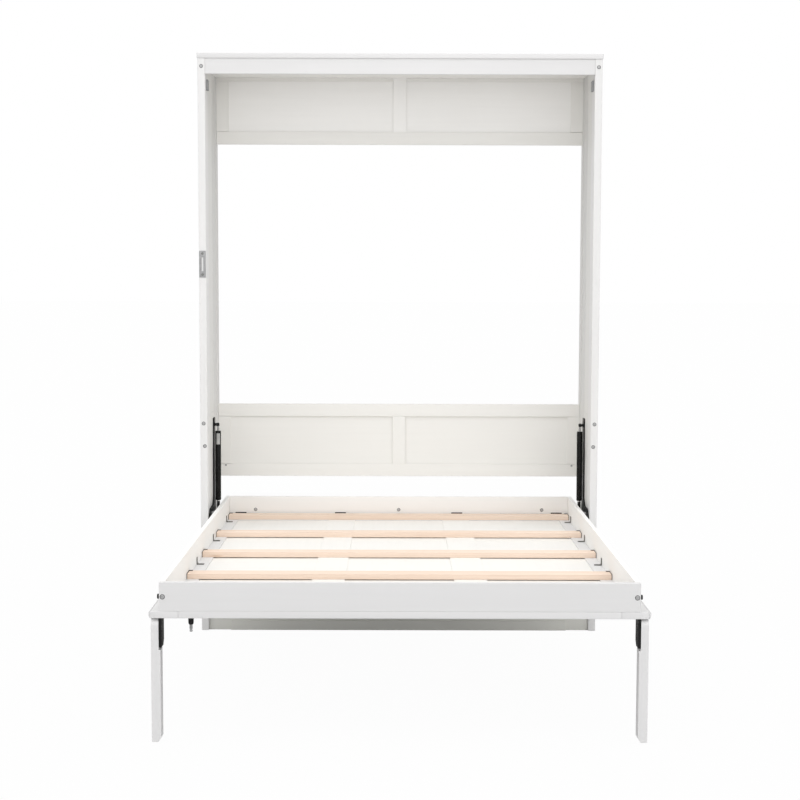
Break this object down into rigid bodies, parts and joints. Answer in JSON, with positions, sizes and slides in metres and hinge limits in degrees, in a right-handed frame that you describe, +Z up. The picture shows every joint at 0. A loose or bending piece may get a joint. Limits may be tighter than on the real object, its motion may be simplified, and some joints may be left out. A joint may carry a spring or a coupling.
{
  "type": "murphy wall bed",
  "caption": "White vertical wall bed, open on two folding legs: slatted frame on a panelled door, hinged in an open-backed cabinet with gas springs.",
  "frame": {"origin": "middle of the footprint of the open bed and its cabinet, on the floor", "axes": "+Z up; +Y from the foot of the bed towards the wall; +X to the right of somebody at the foot looking at the cabinet"},
  "size_m": [1.544, 1.996, 2.222],
  "materials": {
    "white_paint": "satin white paint on wood",
    "pine": "bare planed pine",
    "black_steel": "satin black powder coat",
    "black_plastic": "moulded matte black",
    "grey_plastic": "moulded matte grey",
    "zinc": "zinc plated, satin",
    "chrome_rod": "hard chrome, polished"
  },
  "bodies": {
    "cabinet": {"base_board": "white_paint", "crown_board": "white_paint", "front_post_left": "white_paint", "front_post_right": "white_paint", "hinge_plate_left": "black_steel", "hinge_plate_right": "black_steel", "latch_catch_left": "grey_plastic", "latch_catch_right": "grey_plastic", "lower_back_bottom_rail": "white_paint", "lower_back_centre_stile": "white_paint", "lower_back_panel": "white_paint", "lower_back_top_rail": "white_paint", "rear_stile_left": "white_paint", "rear_stile_right": "white_paint", "side_frame_bottom_rail_left": "white_paint", "side_frame_bottom_rail_right": "white_paint", "side_frame_middle_rail_left": "white_paint", "side_frame_middle_rail_right": "white_paint", "side_frame_top_rail_left": "white_paint", "side_frame_top_rail_right": "white_paint", "side_panel_lower_left": "white_paint", "side_panel_lower_right": "white_paint", "side_panel_upper_left": "white_paint", "side_panel_upper_right": "white_paint", "strike_plate": "zinc", "top_panel": "white_paint", "upper_back_bottom_rail": "white_paint", "upper_back_centre_stile": "white_paint", "upper_back_panel": "white_paint", "valance": "white_paint"},
    "bed": {"bed_foot_rail": "white_paint", "bed_head_rail": "white_paint", "bed_side_rail_left": "white_paint", "bed_side_rail_right": "white_paint", "door_foot_rail": "white_paint", "door_head_rail": "white_paint", "door_inner_stile_left": "white_paint", "door_inner_stile_right": "white_paint", "door_middle_rail": "white_paint", "door_panel": "white_paint", "door_stile_left": "white_paint", "door_stile_right": "white_paint", "latch_knob_left": "black_plastic", "latch_knob_right": "black_plastic", "leg_bracket_left": "black_steel", "leg_bracket_right": "black_steel", "pivot_pin_left": "zinc", "pivot_pin_right": "zinc", "slat_1": "pine", "slat_2": "pine", "slat_3": "pine", "slat_4": "pine", "spring_stud_left": "black_steel", "spring_stud_right": "black_steel"},
    "leg_left": {"leg_left": "white_paint"},
    "cylinder_left": {"spring_cylinder_left": "black_steel"},
    "rod_left": {"spring_rod_left": "chrome_rod"},
    "leg_right": {"leg_right": "white_paint"},
    "cylinder_right": {"spring_cylinder_right": "black_steel"},
    "rod_right": {"spring_rod_right": "chrome_rod"}
  },
  "joints": [
    {"name": "bed_fold", "type": "hinge", "parent": "cabinet", "child": "bed", "pos_m": [0, 0.672, 0.45], "axis": [-1, 0, 0], "range_deg": [0, 90]},
    {"name": "leg_fold_left", "type": "hinge", "parent": "bed", "child": "leg_left", "pos_m": [-0.72, -0.9755, 0.349], "axis": [1, 0, 0], "range_deg": [0, 90]},
    {"name": "spring_swing_left", "type": "hinge", "parent": "cabinet", "child": "cylinder_left", "pos_m": [-0.721, 0.792, 0.79], "axis": [-1, 0, 0], "range_deg": [0, 15.3]},
    {"name": "rod_slide_left", "type": "slide", "parent": "cylinder_left", "child": "rod_left", "axis": [0, -0.0335, -0.9994], "range_m": [0, 0.1107]},
    {"name": "leg_fold_right", "type": "hinge", "parent": "bed", "child": "leg_right", "pos_m": [0.72, -0.9755, 0.349], "axis": [1, 0, 0], "range_deg": [0, 90]},
    {"name": "spring_swing_right", "type": "hinge", "parent": "cabinet", "child": "cylinder_right", "pos_m": [0.721, 0.792, 0.79], "axis": [-1, 0, 0], "range_deg": [0, 15.3]},
    {"name": "rod_slide_right", "type": "slide", "parent": "cylinder_right", "child": "rod_right", "axis": [0, -0.0335, -0.9994], "range_m": [0, 0.1107]}
  ],
  "couplings": [
    {"joint": "spring_swing_left", "follows": "bed_fold", "ratio": 0.1689},
    {"joint": "rod_slide_left", "follows": "bed_fold", "m_per_rad": 0.070392},
    {"joint": "spring_swing_right", "follows": "bed_fold", "ratio": 0.1689},
    {"joint": "rod_slide_right", "follows": "bed_fold", "m_per_rad": 0.070392}
  ]
}
